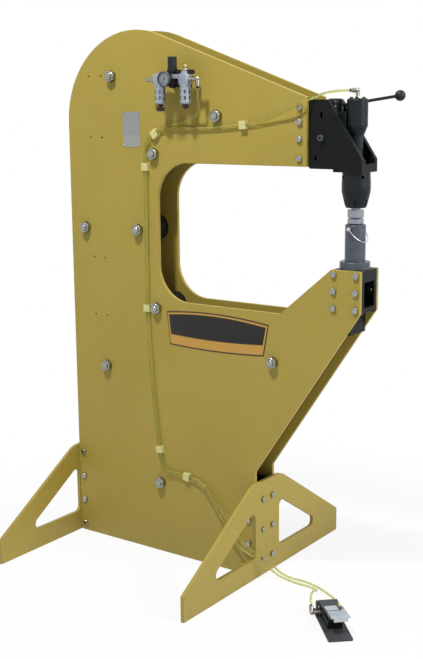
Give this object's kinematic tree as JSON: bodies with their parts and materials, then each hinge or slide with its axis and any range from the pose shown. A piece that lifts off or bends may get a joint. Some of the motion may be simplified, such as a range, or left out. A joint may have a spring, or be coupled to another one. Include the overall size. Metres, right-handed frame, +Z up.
{
  "type": "pneumatic planishing hammer",
  "caption": "Floor-standing pneumatic planishing hammer: C-shaped double-plate frame on cross feet, air hammer over an anvil post, air unit and foot pedal.",
  "frame": {"origin": "on the floor, at the centre of the bounding box of everything but the free hoses", "axes": "+Z up; +X from the column's rear edge toward the dies; near plate with the air unit on the -Y side"},
  "size_m": [1.1014, 0.806, 1.5379],
  "materials": {
    "mustard_paint": "satin mustard enamel",
    "black_paint": "semi-gloss black enamel",
    "zinc_steel": "zinc-plated",
    "black_oxide": "black oxide",
    "turned_steel": "turned and ground",
    "chrome_steel": "polished",
    "bronze": "machined",
    "brass_fitting": "machined",
    "cast_aluminium": "die-cast, satin",
    "tread_aluminium": "extruded",
    "black_plastic": "moulded",
    "drain_brown": "moulded",
    "nickel_fitting": "nickel-plated brass",
    "clear_plastic": "clear polycarbonate",
    "needle_red": "painted",
    "hose_yellow": "translucent polyurethane",
    "clip_nylon": "moulded nylon"
  },
  "bodies": {
    "frame": {"side_plate_near": "mustard_paint", "side_plate_far": "mustard_paint", "tie_spacers": "black_paint", "tie_bolts": "zinc_steel", "tie_washers": "zinc_steel", "tie_nuts": "zinc_steel", "front_foot": "mustard_paint", "rear_foot": "mustard_paint", "foot_channels": "black_paint", "foot_bolts": "zinc_steel", "head_bracket": "black_paint", "head_bolts": "zinc_steel", "hammer_block": "black_paint", "block_screws": "turned_steel", "hammer_head": "black_oxide", "hammer_barrel": "turned_steel", "nose_retainer": "black_oxide", "guide_bush": "bronze", "hammer_elbow": "nickel_fitting", "anvil_bracket": "black_paint", "jaw_bolts": "zinc_steel", "anvil_post": "turned_steel", "post_collar": "turned_steel", "lower_die": "turned_steel", "hose_clips": "clip_nylon", "filter_body": "cast_aluminium", "regulator_body": "black_plastic", "lubricator_body": "cast_aluminium", "bowl_guards": "cast_aluminium", "bowl_cups": "clear_plastic", "gauge_case": "black_plastic", "gauge_lens": "clear_plastic", "sight_dome": "clear_plastic", "unit_brackets": "black_plastic", "inlet_plug": "nickel_fitting", "outlet_elbow": "nickel_fitting", "pedal_base": "black_paint", "pedal_pin": "zinc_steel", "pedal_valve": "black_paint", "pedal_elbows": "nickel_fitting", "pedal_spring": "chrome_steel", "supply_hose": "hose_yellow", "delivery_hose": "hose_yellow", "supply_hose_free": "hose_yellow", "delivery_hose_free": "hose_yellow"},
    "ram": {"ram_piston": "turned_steel", "upper_die": "turned_steel"},
    "clamp": {"clamp_hub": "black_oxide", "clamp_arm": "black_oxide", "ball_knob": "black_plastic"},
    "bail": {"quick_pin": "chrome_steel", "pin_bail": "chrome_steel"},
    "treadle": {"pedal_treadle": "black_paint", "tread_pad": "tread_aluminium"},
    "plunger": {"pedal_plunger": "turned_steel"},
    "knob": {"regulator_knob": "black_plastic"},
    "needle": {"gauge_needle": "needle_red"},
    "drip": {"drip_knob": "brass_fitting"},
    "drain": {"filter_drain": "drain_brown"},
    "oil_drain": {"lubricator_drain": "drain_brown"}
  },
  "joints": [
    {"name": "ram_slide", "type": "slide", "parent": "frame", "child": "ram", "axis": [0, 0, 1], "range_m": [0, 0.025]},
    {"name": "clamp_swing", "type": "hinge", "parent": "frame", "child": "clamp", "pos_m": [0.3457, 0, 1.309], "axis": [0, 0, 1], "range_deg": [0, 21]},
    {"name": "bail_swing", "type": "hinge", "parent": "frame", "child": "bail", "pos_m": [0.4097, 0, 1.014], "axis": [0, -1, 0], "range_deg": [0, 70]},
    {"name": "treadle_press", "type": "hinge", "parent": "frame", "child": "treadle", "pos_m": [0.41988, -0.14258, 0.032], "axis": [0.7314, 0.682, 0], "range_deg": [0, 6], "stiffness_Nm_per_rad": 15, "springref_deg": -5.73, "deforming": ["pedal_spring"]},
    {"name": "plunger_slide", "type": "slide", "parent": "frame", "child": "plunger", "axis": [0, 0, -1], "range_m": [0, 0.0091]},
    {"name": "regulator_turn", "type": "hinge", "parent": "frame", "child": "knob", "pos_m": [-0.1068, -0.0955, 1.42], "axis": [0, 0, 1], "range_deg": [0, 720]},
    {"name": "needle_turn", "type": "hinge", "parent": "frame", "child": "needle", "pos_m": [-0.1068, -0.1325, 1.398], "axis": [0, 1, 0], "range_deg": [0, 270], "stiffness_Nm_per_rad": 0.002, "springref_deg": -11.46},
    {"name": "drip_turn", "type": "hinge", "parent": "frame", "child": "drip", "pos_m": [-0.0638, -0.0955, 1.43], "axis": [0, 0, 1], "range_deg": [0, 360]},
    {"name": "drain_turn", "type": "hinge", "parent": "frame", "child": "drain", "pos_m": [-0.1498, -0.0955, 1.32], "axis": [0, 0, 1], "range_deg": [0, 180]},
    {"name": "oil_drain_turn", "type": "hinge", "parent": "frame", "child": "oil_drain", "pos_m": [-0.0638, -0.0955, 1.325], "axis": [0, 0, 1], "range_deg": [0, 180]}
  ],
  "couplings": [
    {"joint": "plunger_slide", "follows": "treadle_press", "m_per_rad": 0.0843}
  ]
}
